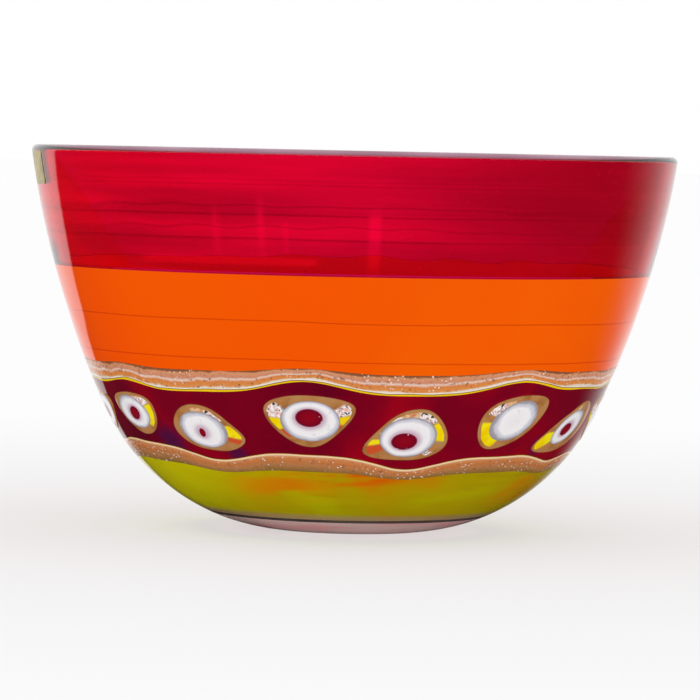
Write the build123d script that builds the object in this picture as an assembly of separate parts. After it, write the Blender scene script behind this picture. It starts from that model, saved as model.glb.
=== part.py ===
from build123d import *
import math
import os

# A free-standing, hand-blown art glass bowl, in millimetres.
# The origin is the centre of the flat base, +Z is up, and the bowl's front is -Y.
# The wall is a stack of coloured glass rings joined hot, and the cranberry ring holds a row of
# murrine: slices of patterned cane, each a dark core in opaque white in an amber casing.

# Driving dimensions of the form
RIM_RADIUS = 125.0
HEIGHT = 147.0
RIM_LEAN = 8.5  # degrees that the wall leans out from vertical at the rim
KNEE_RADIUS = 95.0  # where the long upper curve turns into the tighter lower one
KNEE_HEIGHT = 46.0
BASE_RADIUS = 26.0  # edge of the flat that the bowl stands on
LIP_THICKNESS = 4.4
KNEE_THICKNESS = 5.6
FLOOR_THICKNESS = 9.0
PONTIL_RADIUS = 17.0  # polished hollow in the middle of the base
PONTIL_DEPTH = 0.9

# Heights of the joints between the coloured rings, on the outer surface
LIP_LINE = 0.6  # this one is measured up from the middle of the rounded lip
RUBY_FOOT = 101.0
ORANGE_FOOT = 65.5
GREEN_TOP = 27.0
GREEN_FOOT = 7.6
FOOT_TOP = 6.4

# How far the cranberry ring's joints keep from the murrine, and the share of that wave that
# carries into the next joint above and below
CLEAR_ABOVE = 6.5
CLEAR_BELOW = 2.8
DIP_BETWEEN = 1.2
ORANGE_FOLLOWS = 0.4
GREEN_FOLLOWS = 0.5

THREAD_WIDTH = 1.3
MURRINA_DEPTH = 2.8
BAND_LEAN = 27.0  # degrees that the wall leans out at the murrine's height

LABEL_ANGLE = -77.0  # degrees from the front, towards +X
LABEL_HEIGHT = 138.4
LABEL_WIDTH = 19.0
LABEL_DROP = 13.6
LABEL_CORNER = 1.5
LABEL_THICKNESS = 0.15

# Reach of the construction surfaces that cut the wall
CUT_OUTSIDE = 150.0
CUT_INWARD = 21.0
CUT_ABOVE = 250.0
STEEPEST_CUT = 45.0  # degrees from level, so that a cut near the base stays clear of the floor
PRISM_REACH = 8.0  # to each side of the outer surface
SKIN_CLEAR = 1.0  # how far a pocket's shell stands out of the wall
HALVINGS = 40  # steps that find a height on the profile

# Outlines of the cane slices, seen from outside: across, then up the wall, in millimetres.
OUTLINES = {
    "bean": [(-15, 5.5), (-6, 9), (5, 9), (13, 5.5), (13.5, -0.5), (8, -7), (1, -8.5), (-7, -5.5)],
    "drop": [
        (-16, -1), (-12.5, 6.5), (-5, 10), (4, 8.5), (11, 2.5),
        (15.5, -5), (10, -9), (0, -9.8), (-11, -7),
    ],
    "almond": [
        (-16.6, 5.9), (-9, 10.3), (1, 11.3), (10, 10.1),
        (17.6, 6.3), (11.5, -4.2), (1, -10.8), (-10, -6.4),
    ],
    "dome": [(-16.3, -7), (-11.5, 3.4), (-4, 10.6), (6, 12), (13, 6), (15, -4), (9, -8.8), (-3, -10.2)],
    "oval": [
        (-16, -2), (-13.5, 6.5), (-5, 10.8), (6, 11.8),
        (15.5, 8.5), (11.5, -1.5), (0, -9.5), (-9.5, -11),
    ],
    "wing": [
        (-18.5, -8.6), (-11.8, 1.6), (-1.5, 8.6), (9, 12),
        (15.2, 8.4), (12.3, -2.4), (2.6, -8.6), (-9.5, -10.2),
    ],
}

# The white of each slice: centre across, centre up, half width, half height, tilt in degrees.
WHITES = {
    "bean": (-1.2, 1.2, 10.6, 6.8, -10),
    "drop": (-1.8, -0.6, 10.9, 7.7, -8),
    "almond": (0.6, 0.5, 11.2, 8.5, 0),
    "dome": (0.0, 0.2, 10.9, 8.7, 4),
    "oval": (-0.2, 1.2, 11.4, 7.8, 24),
    "wing": (-0.2, 1.2, 10.6, 6.0, 30),
}

# The core inside the white, in the same terms.
CORES = {
    "bean": (-0.6, 0.6, 3.5, 2.8, 10),
    "drop": (-2.4, -1.8, 1.4, 1.9, 0),
    "almond": (0.3, 1.9, 5.2, 3.8, 0),
    "dome": (-1.4, -1.4, 5.0, 3.7, 0),
    "oval": (0.0, 1.0, 3.4, 2.6, 20),
    "wing": (-1.4, 0.4, 3.6, 2.5, 24),
}

# The row of slices, going round from the front's left: outline, angle from the front towards +X,
# height of the middle, mirrored left to right, and whether the slice has a core.
MURRINE = [
    ("bean", -57.9, 45.8, False, True),
    ("drop", -34.65, 42.5, False, True),
    ("almond", -9.1, 46.6, False, True),
    ("dome", 13.7, 41.3, False, True),
    ("oval", 40.1, 46.5, False, False),
    ("wing", 61.9, 42.9, False, True),
    ("almond", 83.6, 45.3, True, True),
    ("drop", 105.0, 43.6, True, False),
    ("bean", 127.0, 46.3, False, True),
    ("dome", 150.0, 42.1, True, True),
    ("oval", 173.0, 45.8, True, True),
    ("almond", 196.0, 45.4, False, True),
    ("wing", 218.5, 43.6, True, True),
    ("drop", 240.0, 43.2, False, True),
    ("dome", 261.0, 42.6, False, False),
    ("bean", 281.0, 44.8, True, True),
]


def along(lean):
    """Unit vector up the wall, in the profile's plane, where it leans out by this many degrees."""
    return Vector(math.sin(math.radians(lean)), 0, math.cos(math.radians(lean)))


def outward(lean):
    """Unit vector out of the wall, in the profile's plane, at this lean."""
    return Vector(math.cos(math.radians(lean)), 0, -math.sin(math.radians(lean)))


LIP_CENTRE = Vector(RIM_RADIUS - LIP_THICKNESS / 2, 0, HEIGHT - LIP_THICKNESS / 2)


def outer_curve(depth):
    """The outer profile from rim to base edge, moved into the glass by depth."""
    rim = LIP_CENTRE + outward(RIM_LEAN) * (LIP_THICKNESS / 2)
    knee = Vector(KNEE_RADIUS, 0, KNEE_HEIGHT)
    base = Vector(BASE_RADIUS, 0, 0)
    upper = TangentArc(rim, knee, tangent=-along(RIM_LEAN))
    lower = TangentArc(knee, base, tangent=upper % 1)
    leans = [math.degrees(math.atan2(-t.X, -t.Z)) for t in (upper % 0, upper % 1, lower % 1)]
    moved = [p - outward(lean) * depth for p, lean in zip((rim, knee, base), leans)]
    deep_upper = TangentArc(moved[0], moved[1], tangent=upper % 0)
    deep_lower = TangentArc(moved[1], moved[2], tangent=upper % 1)
    return deep_upper, deep_lower


def inner_curve():
    """The inner profile from rim to the edge of the flat floor, where it runs out level."""
    rim = LIP_CENTRE - outward(RIM_LEAN) * (LIP_THICKNESS / 2)
    knee = Vector(KNEE_RADIUS - KNEE_THICKNESS, 0, KNEE_HEIGHT + 1)
    upper = TangentArc(rim, knee, tangent=-along(RIM_LEAN))
    turn = upper % 1
    lean = math.atan2(-turn.X, -turn.Z)
    radius = (knee.Z - FLOOR_THICKNESS) / (1 - math.sin(lean))
    floor = Vector(knee.X - radius * math.cos(lean), 0, FLOOR_THICKNESS)
    return upper, TangentArc(knee, floor, tangent=turn)


def spin(edges):
    """A solid of revolution about +Z from the edges of a closed profile in the XZ plane."""
    return revolve(make_face(Wire(edges)), Axis.Z)


def bowl_wall():
    """The whole wall with its floor, lip and polished pontil hollow, before it is cut into rings."""
    outer_upper, outer_lower = outer_curve(0)
    inner_upper, inner_lower = inner_curve()
    crown = LIP_CENTRE + along(RIM_LEAN) * (LIP_THICKNESS / 2)
    lip = ThreePointArc(inner_upper @ 0, crown, outer_upper @ 0)
    base_edge = outer_lower @ 1
    floor_edge = inner_lower @ 1
    hollow_edge = Vector(PONTIL_RADIUS, 0, 0)
    hollow_top = Vector(0, 0, PONTIL_DEPTH)
    hollow = TangentArc(hollow_top, hollow_edge, tangent=(1, 0, 0))
    edges = [
        outer_upper,
        outer_lower,
        Line(base_edge, hollow_edge),
        hollow,
        Line(hollow_top, (0, 0, FLOOR_THICKNESS)),
        Line((0, 0, FLOOR_THICKNESS), floor_edge),
        inner_lower,
        inner_upper,
        lip,
    ]
    return spin(edges)


def skin(outside, inside):
    """A shell that follows the outer surface, between two depths into the glass."""
    out_upper, out_lower = outer_curve(outside)
    in_upper, in_lower = outer_curve(inside)
    return spin(
        [
            out_upper,
            out_lower,
            Line(out_lower @ 1, in_lower @ 1),
            in_lower,
            in_upper,
            Line(in_upper @ 0, out_upper @ 0),
        ]
    )


def outer_point(height):
    """Radius and lean of the outer surface at a height."""
    for arc in outer_curve(0):
        top, foot = arc @ 0, arc @ 1
        if foot.Z <= height <= top.Z:
            low, high = 0.0, 1.0
            for _ in range(HALVINGS):
                middle = (low + high) / 2
                low, high = (middle, high) if (arc @ middle).Z > height else (low, middle)
            tangent = arc % low
            return (arc @ low).X, math.degrees(math.atan2(-tangent.X, -tangent.Z))
    raise ValueError(f"the wall has no point at height {height}")


def outline_points(name, mirrored):
    side = -1 if mirrored else 1
    return [(side * across, up) for across, up in OUTLINES[name]]


def slice_span(name):
    """How far a slice's outline reaches above and below its middle, as height."""
    rise = math.cos(math.radians(BAND_LEAN))
    ups = [up for across, up in OUTLINES[name]]
    return max(ups) * rise, min(ups) * rise


def cranberry_joints():
    """Angle, top joint height and foot joint height at each slice and halfway to the next one."""
    at_slices = []
    for name, angle, height, mirrored, cored in MURRINE:
        top, bottom = slice_span(name)
        at_slices.append((angle, height + top + CLEAR_ABOVE, height + bottom - CLEAR_BELOW))
    stations = []
    for here, following in zip(at_slices, at_slices[1:] + [(360 + at_slices[0][0], *at_slices[0][1:])]):
        stations.append(here)
        angle, top, foot = ((a + b) / 2 for a, b in zip(here, following))
        stations.append((angle, top - DIP_BETWEEN, foot + DIP_BETWEEN))
    return stations


def waving(height, stations, column, share):
    """A joint at this height that follows a share of the cranberry ring's top or foot."""
    average = sum(s[column] for s in stations) / len(stations)
    return [(s[0], height + share * (s[column] - average)) for s in stations]


def lowered(stations, drop):
    return [(angle, height - drop) for angle, height in stations]


def above_cone(point, lean):
    """Everything above a level joint that crosses the wall at right angles, through a profile point."""
    rise = math.tan(math.radians(min(lean, STEEPEST_CUT)))
    inside = Vector(point.X - CUT_INWARD, 0, point.Z + CUT_INWARD * rise)
    outside = Vector(CUT_OUTSIDE, 0, point.Z - (CUT_OUTSIDE - point.X) * rise)
    over = [Vector(outside.X, 0, CUT_ABOVE), Vector(inside.X, 0, CUT_ABOVE)]
    return revolve(make_face(Polyline(inside, outside, *over, close=True)), Axis.Z)


def above_lip_line():
    return above_cone(LIP_CENTRE + along(RIM_LEAN) * LIP_LINE, RIM_LEAN)


def above_level(height):
    radius, lean = outer_point(height)
    return above_cone(Vector(radius, 0, height), lean)


def above_wave(stations):
    """Everything above a joint that crosses the wall at right angles, through (angle, height) stations."""
    average = sum(height for angle, height in stations) / len(stations)
    middle, lean = outer_point(average)
    rise = math.tan(math.radians(min(lean, STEEPEST_CUT)))

    def ring(radius):
        points = []
        for angle, height in stations:
            turn = math.radians(angle)
            up = height + (middle - radius) * rise
            points.append((radius * math.sin(turn), -radius * math.cos(turn), up))
        return Edge.make_spline(points, periodic=True)

    sheet = Face.make_surface_from_curves(ring(middle - CUT_INWARD), ring(CUT_OUTSIDE))
    return Solid.extrude(sheet, Vector(0, 0, CUT_ABOVE))


def ellipse(across, up, half_width, half_height, tilt, mirrored):
    """An ellipse placed in a slice's own plane, from a row of WHITES or CORES."""
    side = -1 if mirrored else 1
    place = Location((side * across, up, 0), (0, 0, side * tilt))
    return place * Ellipse(half_width, half_height)


def through_wall(sketch, angle, height):
    """A prism of a sketch, across and up the wall, that runs along the wall's normal at that place."""
    radius, lean = outer_point(height)
    turn = math.radians(angle)
    facing = outward(lean)
    normal = Vector(facing.X * math.sin(turn), -facing.X * math.cos(turn), facing.Z)
    across = Vector(math.cos(turn), math.sin(turn), 0)
    centre = Vector(radius * math.sin(turn), -radius * math.cos(turn), height)
    plane = Plane(origin=centre - normal * PRISM_REACH, x_dir=across, z_dir=normal)
    return extrude(plane * sketch, 2 * PRISM_REACH)


def main():
    os.makedirs("parts", exist_ok=True)
    parts = {}
    stations = cranberry_joints()

    wall = bowl_wall()
    cranberry_top = [(angle, top) for angle, top, foot in stations]
    cranberry_foot = [(angle, foot) for angle, top, foot in stations]
    orange_foot = waving(ORANGE_FOOT, stations, 1, ORANGE_FOLLOWS)
    green_top = waving(GREEN_TOP, stations, 2, GREEN_FOLLOWS)
    rings = [
        ("lip_wrap", above_lip_line()),
        ("ruby_band", above_level(RUBY_FOOT)),
        ("orange_band", above_wave(orange_foot)),
        ("upper_bubble_wrap", above_wave(cranberry_top)),
        ("gold_thread", above_wave(lowered(cranberry_top, THREAD_WIDTH))),
        ("cranberry_band", above_wave(cranberry_foot)),
        ("cream_thread", above_wave(lowered(cranberry_foot, THREAD_WIDTH))),
        ("lower_bubble_wrap", above_wave(green_top)),
        ("green_band", above_level(GREEN_FOOT)),
        ("smoke_thread", above_level(FOOT_TOP)),
    ]
    for name, upper_side in rings:
        parts[name] = wall & upper_side
        wall = wall - upper_side
    parts["foot_gather"] = wall

    pocket = skin(-SKIN_CLEAR, MURRINA_DEPTH)
    for number, (name, angle, height, mirrored, cored) in enumerate(MURRINE, start=1):
        outline = make_face(Spline(outline_points(name, mirrored), periodic=True))
        slice_prism = through_wall(outline, angle, height) & pocket
        white_prism = through_wall(ellipse(*WHITES[name], mirrored), angle, height)
        body = parts["cranberry_band"] & slice_prism
        parts["cranberry_band"] = parts["cranberry_band"] - slice_prism
        white = body & white_prism
        parts[f"murrina_{number:02d}_casing"] = body - white_prism
        if cored:
            core_prism = through_wall(ellipse(*CORES[name], mirrored), angle, height)
            parts[f"murrina_{number:02d}_core"] = white & core_prism
            white = white - core_prism
        parts[f"murrina_{number:02d}_white"] = white

    label_shape = RectangleRounded(LABEL_WIDTH, LABEL_DROP, LABEL_CORNER)
    label_prism = through_wall(label_shape, LABEL_ANGLE, LABEL_HEIGHT)
    parts["foil_label"] = skin(-LABEL_THICKNESS, 0) & label_prism

    for name, part in parts.items():
        export_step(part, f"parts/{name}.step")


main()
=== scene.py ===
import math

import bmesh
import bpy
import numpy as np
from mathutils import Matrix, Vector


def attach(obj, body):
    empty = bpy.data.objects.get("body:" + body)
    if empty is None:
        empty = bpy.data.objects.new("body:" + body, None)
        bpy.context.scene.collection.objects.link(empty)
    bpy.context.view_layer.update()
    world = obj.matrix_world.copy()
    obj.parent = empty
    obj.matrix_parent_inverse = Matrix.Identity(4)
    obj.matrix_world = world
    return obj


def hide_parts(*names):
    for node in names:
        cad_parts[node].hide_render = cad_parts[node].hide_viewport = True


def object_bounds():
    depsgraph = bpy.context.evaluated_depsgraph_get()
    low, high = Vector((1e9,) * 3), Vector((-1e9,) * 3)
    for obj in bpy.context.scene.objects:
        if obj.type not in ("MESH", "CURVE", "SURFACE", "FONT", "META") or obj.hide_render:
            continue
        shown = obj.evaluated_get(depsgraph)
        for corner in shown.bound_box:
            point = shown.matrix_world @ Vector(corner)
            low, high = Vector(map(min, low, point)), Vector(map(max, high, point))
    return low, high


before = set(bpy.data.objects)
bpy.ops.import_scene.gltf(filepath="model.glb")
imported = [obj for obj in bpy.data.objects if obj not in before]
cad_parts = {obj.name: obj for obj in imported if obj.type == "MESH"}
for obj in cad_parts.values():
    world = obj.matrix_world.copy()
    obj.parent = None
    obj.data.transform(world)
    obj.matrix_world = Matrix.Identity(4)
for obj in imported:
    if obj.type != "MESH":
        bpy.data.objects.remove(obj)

cad_low, cad_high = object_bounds()

# ---- Form, in millimetres, the same as the CAD model's ----
MM = 0.001
RIM_RADIUS = 1000 * cad_high.x
HEIGHT = 1000 * cad_high.z
RIM_LEAN = math.radians(8.5)  # how far the wall leans out from vertical at the rim
KNEE_RADIUS = 95.0  # where the long upper curve turns into the tighter lower one
KNEE_HEIGHT = 46.0
BASE_RADIUS = 26.0  # edge of the flat that the bowl stands on
LIP_THICKNESS = 4.4
KNEE_THICKNESS = 5.6
INNER_KNEE_RISE = 1.0  # of the inside's knee above the outside's
FLOOR_THICKNESS = 9.0
PONTIL_RADIUS = 17.0  # polished hollow in the middle of the base
PONTIL_DEPTH = 0.9

# Heights of the joints between the coloured rings, on the outer surface
LIP_LINE = 0.6  # this one is measured up from the middle of the rounded lip
RUBY_FOOT = 101.0
ORANGE_FOOT = 65.5
GREEN_TOP = 27.0
GREEN_FOOT = 7.6
FOOT_TOP = 6.4

# How far the cranberry ring's joints keep from the murrine, and the share of that wave that
# carries into the next joint above and below
CLEAR_ABOVE = 6.5
CLEAR_BELOW = 2.8
DIP_BETWEEN = 1.2
ORANGE_FOLLOWS = 0.4
GREEN_FOLLOWS = 0.5

THREAD_WIDTH = 1.3
MURRINA_DEPTH = 2.8
BAND_LEAN = math.radians(27.0)  # how far the wall leans out at the murrine's height
STEEPEST_CUT = math.radians(45.0)  # from level, so that a joint near the base stays clear of the floor
HALVINGS = 40  # steps that find a height on the profile

# Outlines of the cane slices, seen from outside: across, then up the wall.
OUTLINES = {
    "bean": [(-15, 5.5), (-6, 9), (5, 9), (13, 5.5), (13.5, -0.5), (8, -7), (1, -8.5), (-7, -5.5)],
    "drop": [
        (-16, -1), (-12.5, 6.5), (-5, 10), (4, 8.5), (11, 2.5),
        (15.5, -5), (10, -9), (0, -9.8), (-11, -7),
    ],
    "almond": [
        (-16.6, 5.9), (-9, 10.3), (1, 11.3), (10, 10.1),
        (17.6, 6.3), (11.5, -4.2), (1, -10.8), (-10, -6.4),
    ],
    "dome": [(-16.3, -7), (-11.5, 3.4), (-4, 10.6), (6, 12), (13, 6), (15, -4), (9, -8.8), (-3, -10.2)],
    "oval": [
        (-16, -2), (-13.5, 6.5), (-5, 10.8), (6, 11.8),
        (15.5, 8.5), (11.5, -1.5), (0, -9.5), (-9.5, -11),
    ],
    "wing": [
        (-18.5, -8.6), (-11.8, 1.6), (-1.5, 8.6), (9, 12),
        (15.2, 8.4), (12.3, -2.4), (2.6, -8.6), (-9.5, -10.2),
    ],
}
# Ellipses in the slices: centre across and up, half width, half height, and tilt in degrees.
WHITES = {
    "bean": (-1.2, 1.2, 10.6, 6.8, -10),
    "drop": (-1.8, -0.6, 10.9, 7.7, -8),
    "almond": (0.6, 0.5, 11.2, 8.5, 0),
    "dome": (0.0, 0.2, 10.9, 8.7, 4),
    "oval": (-0.2, 1.2, 11.4, 7.8, 24),
    "wing": (-0.2, 1.2, 10.6, 6.0, 30),
}
CORES = {
    "bean": (-0.6, 0.6, 3.5, 2.8, 10),
    "drop": (-2.4, -1.8, 1.4, 1.9, 0),
    "almond": (0.3, 1.9, 5.2, 3.8, 0),
    "dome": (-1.4, -1.4, 5.0, 3.7, 0),
    "oval": (0.0, 1.0, 3.4, 2.6, 20),
    "wing": (-1.4, 0.4, 3.6, 2.5, 24),
}
# Each slice round the bowl: outline, angle from the front in degrees, height, and whether it is mirrored.
MURRINE = [
    ("bean", -57.9, 45.8, False),
    ("drop", -34.65, 42.5, False),
    ("almond", -9.1, 46.6, False),
    ("dome", 13.7, 41.3, False),
    ("oval", 40.1, 46.5, False),
    ("wing", 61.9, 42.9, False),
    ("almond", 83.6, 45.3, True),
    ("drop", 105.0, 43.6, True),
    ("bean", 127.0, 46.3, False),
    ("dome", 150.0, 42.1, True),
    ("oval", 173.0, 45.8, True),
    ("almond", 196.0, 45.4, False),
    ("wing", 218.5, 43.6, True),
    ("drop", 240.0, 43.2, False),
    ("dome", 261.0, 42.6, False),
    ("bean", 281.0, 44.8, True),
]

TURNS = 640  # points round the bowl
JOINT_EDGE = 0.12  # border of a joint face that still has the surface's colour
GAP = 0.03  # between neighbouring pieces of glass, so that no two faces coincide
theta = np.linspace(0, 2 * math.pi, TURNS, endpoint=False)


def along(lean):
    return np.array([math.sin(lean), math.cos(lean)])


def outward(lean):
    return np.array([math.cos(lean), -math.sin(lean)])


class Arc:
    """A circular arc in the profile plane that leaves start along tangent and passes through end."""

    def __init__(self, start, tangent, end):
        start, end = np.array(start, float), np.array(end, float)
        normal = np.array([tangent[1], -tangent[0]])
        chord = end - start
        if normal @ chord < 0:
            normal = -normal
        self.size = chord @ chord / (2 * (chord @ normal))
        self.centre = start + normal * self.size
        spoke = (end - self.centre) / self.size
        turned = np.array([spoke[1], -spoke[0]])
        self.end_tangent = turned if turned @ chord > 0 else -turned

    def radius(self, z):
        return self.centre[0] + np.sqrt(np.maximum(self.size**2 - (z - self.centre[1]) ** 2, 0))

    def lean(self, z):
        """Angle that the surface leans out from vertical, at a height."""
        return np.arcsin(np.clip((self.centre[1] - z) / self.size, -1, 1))


lip_centre = np.array([RIM_RADIUS - LIP_THICKNESS / 2, HEIGHT - LIP_THICKNESS / 2])
rim_out = lip_centre + outward(RIM_LEAN) * LIP_THICKNESS / 2
rim_in = lip_centre - outward(RIM_LEAN) * LIP_THICKNESS / 2
out_high = Arc(rim_out, -along(RIM_LEAN), (KNEE_RADIUS, KNEE_HEIGHT))
out_low = Arc((KNEE_RADIUS, KNEE_HEIGHT), out_high.end_tangent, (BASE_RADIUS, 0))
IN_KNEE = (KNEE_RADIUS - KNEE_THICKNESS, KNEE_HEIGHT + INNER_KNEE_RISE)
in_high = Arc(rim_in, -along(RIM_LEAN), IN_KNEE)
in_turn = in_high.end_tangent
in_lean = math.atan2(-in_turn[0], -in_turn[1])
in_size = (IN_KNEE[1] - FLOOR_THICKNESS) / (1 - math.sin(in_lean))
floor_edge = IN_KNEE[0] - in_size * math.cos(in_lean)
in_low = Arc(IN_KNEE, in_turn, (floor_edge, FLOOR_THICKNESS))


def outer(z):
    return np.where(z >= KNEE_HEIGHT, out_high.radius(z), out_low.radius(z))


def outer_lean(z):
    return np.where(z >= KNEE_HEIGHT, out_high.lean(z), out_low.lean(z))


def inner(z):
    return np.where(z >= IN_KNEE[1], in_high.radius(z), in_low.radius(z))


# ---- Joints between the rings ----
def reach_up_and_down(name):
    """How far a slice goes above and below its middle, in height."""
    ups = [up for across, up in OUTLINES[name]]
    return max(ups) * math.cos(BAND_LEAN), min(ups) * math.cos(BAND_LEAN)


def cranberry_stations():
    """(angle, top, foot) of the cranberry ring at each slice, and dipping in between them."""
    slices = []
    for name, angle, height, mirrored in MURRINE:
        top, bottom = reach_up_and_down(name)
        slices.append((angle, height + top + CLEAR_ABOVE, height + bottom - CLEAR_BELOW))
    wrapped = slices[1:] + [(360 + slices[0][0], *slices[0][1:])]
    stations = []
    for here, following in zip(slices, wrapped):
        angle, top, foot = ((a + b) / 2 for a, b in zip(here, following))
        stations += [here, (angle, top - DIP_BETWEEN, foot + DIP_BETWEEN)]
    return np.array(stations)


def periodic_spline(angles, values, where, period):
    """A smooth closed cubic through values at angles, read at other angles."""
    n = len(angles)
    steps = np.diff(np.append(angles, angles[0] + period))
    slopes = np.diff(np.append(values, values[0])) / steps
    system, right = np.zeros((n, n)), np.zeros(n)
    for i in range(n):
        before, here = steps[i - 1], steps[i]
        system[i, i - 1] += here
        system[i, i] += 2 * (before + here)
        system[i, (i + 1) % n] += before
        right[i] = 3 * (here * slopes[i - 1] + before * slopes[i])
    tangents = np.linalg.solve(system, right)
    shifted = (np.asarray(where) - angles[0]) % period + angles[0]
    cell = np.clip(np.searchsorted(angles, shifted, side="right") - 1, 0, n - 1)
    t = (shifted - angles[cell]) / steps[cell]
    y0, y1 = values[cell], np.append(values, values[0])[cell + 1]
    m0, m1 = tangents[cell] * steps[cell], np.append(tangents, tangents[0])[cell + 1] * steps[cell]
    from_here = (2 * t**3 - 3 * t**2 + 1) * y0 + (t**3 - 2 * t**2 + t) * m0
    return from_here + (3 * t**2 - 2 * t**3) * y1 + (t**3 - t**2) * m1


stations = cranberry_stations()
degrees = np.degrees(theta)
cranberry_top = periodic_spline(stations[:, 0], stations[:, 1], degrees, 360)
cranberry_foot = periodic_spline(stations[:, 0], stations[:, 2], degrees, 360)
top_mean, foot_mean = stations[:, 1].mean(), stations[:, 2].mean()
orange_foot = ORANGE_FOOT + ORANGE_FOLLOWS * (cranberry_top - top_mean)
green_top = GREEN_TOP + GREEN_FOLLOWS * (cranberry_foot - foot_mean)


class Joint:
    """A joint through the wall: its outer height round the bowl, and how steeply it climbs inwards."""

    def __init__(self, heights, mean):
        self.outside = np.broadcast_to(np.asarray(heights, float), theta.shape)
        self.rise = math.tan(min(float(outer_lean(np.array(mean))), STEEPEST_CUT))

    def ends(self, lift):
        """(outer radius, outer height, inner radius, inner height), with the joint moved up by lift."""
        z_out = self.outside + lift
        r_out = outer(z_out)
        low, high = np.full_like(z_out, FLOOR_THICKNESS), np.full_like(z_out, rim_in[1])
        for _ in range(HALVINGS):
            middle = (low + high) / 2
            over = middle - z_out - (r_out - inner(middle)) * self.rise > 0
            low, high = np.where(over, low, middle), np.where(over, middle, high)
        return r_out, z_out, inner(low), low


JOINTS = {
    "ruby_foot": Joint(RUBY_FOOT, RUBY_FOOT),
    "orange_foot": Joint(orange_foot, ORANGE_FOOT),
    "wrap_foot": Joint(cranberry_top, top_mean),
    "gold_foot": Joint(cranberry_top - THREAD_WIDTH, top_mean - THREAD_WIDTH),
    "cranberry_foot": Joint(cranberry_foot, foot_mean),
    "cream_foot": Joint(cranberry_foot - THREAD_WIDTH, foot_mean - THREAD_WIDTH),
    "green_top": Joint(green_top, GREEN_TOP),
    "green_foot": Joint(GREEN_FOOT, GREEN_FOOT),
    "foot_top": Joint(FOOT_TOP, FOOT_TOP),
}


# ---- Hand-made unevenness ----
def fade(x, low, high):
    """0 below low, 1 above high, smooth between."""
    t = np.clip((x - low) / (high - low), 0, 1)
    return t * t * (3 - 2 * t)


# Grooves that the jacks left: height, depth, width, how far each wanders, and its phase.
TOOL_LINES = [
    (123.0, 0.03, 0.9, 0.5, 0.3),
    (114.2, 0.035, 1.0, 0.6, 2.1),
    (72.0, 0.03, 0.8, 0.5, 4.0),
    (134.0, 0.015, 1.6, 0.8, 1.2),
]
THREE_WAVE, SEVEN_WAVE = 0.10, 0.08  # depths of the slow waves round the bowl
RIPPLE = 0.008  # depth of the level ripples
FLUTE = 0.07  # depth of the upright ripples
LIP_CALM = 42.0  # below the rounded lip, the unevenness fades in over this height
FOOT_CALM = (1.0, 8.0)  # and between these heights above the base


def unevenness(turn, z):
    """How far the outer surface lies under the true profile."""
    soft = THREE_WAVE * (1 + np.sin(3 * turn + 0.05 * z)) / 2
    soft = soft + SEVEN_WAVE * (1 + np.sin(7 * turn - 0.09 * z + 1.0)) / 2
    soft += RIPPLE * (1 + np.sin(0.55 * z + 1.3 * np.sin(2 * turn))) / 2
    soft += FLUTE * (1 + np.sin(23 * turn + 0.05 * z + 1.6 * np.sin(0.11 * z + 2 * turn))) / 2
    for height, depth, width, wander, phase in TOOL_LINES:
        centre = height + wander * np.sin(turn + phase) + 0.3 * wander * np.sin(5 * turn + phase)
        soft = soft + depth * np.exp(-(((z - centre) / width) ** 2))
    return soft * fade(rim_out[1] - z, 0.0, LIP_CALM) * fade(z, *FOOT_CALM)


# ---- Meshes ----
# Edges sharper than these angles, in degrees, stay crisp.
RING_CREASE = 35
LATHE_CREASE = 30
SLICE_CREASE = 40
ON_AXIS = 1e-6


def link(name, mesh):
    obj = bpy.data.objects.new(name, mesh)
    bpy.context.collection.objects.link(obj)
    return obj


def finish_mesh(name, points, faces, sharp, attributes=None):
    """A closed smooth-shaded mesh in metres, with edges sharper than the angle kept crisp."""
    mesh = bpy.data.meshes.new(name)
    mesh.from_pydata((np.asarray(points) * MM).tolist(), [], faces)
    for key, values in (attributes or {}).items():
        layer = mesh.attributes.new(key, "FLOAT", "POINT")
        layer.data.foreach_set("value", np.asarray(values, np.float32))
    shape = bmesh.new()
    shape.from_mesh(mesh)
    bmesh.ops.recalc_face_normals(shape, faces=shape.faces)
    shape.to_mesh(mesh)
    shape.free()
    mesh.shade_smooth()
    mesh.set_sharp_from_angle(angle=math.radians(sharp))
    return link(name, mesh)


def loop_faces(columns, rows):
    """Quads of a grid that closes in both directions."""
    faces = []
    for i in range(columns):
        j = (i + 1) % columns
        for a in range(rows):
            b = (a + 1) % rows
            faces.append((i * rows + a, i * rows + b, j * rows + b, j * rows + a))
    return faces


def on_lip(turn):
    """The point of the rounded lip at this angle up from its outer side."""
    facing = math.cos(turn) * outward(RIM_LEAN) + math.sin(turn) * along(RIM_LEAN)
    return lip_centre + LIP_THICKNESS / 2 * facing


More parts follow.
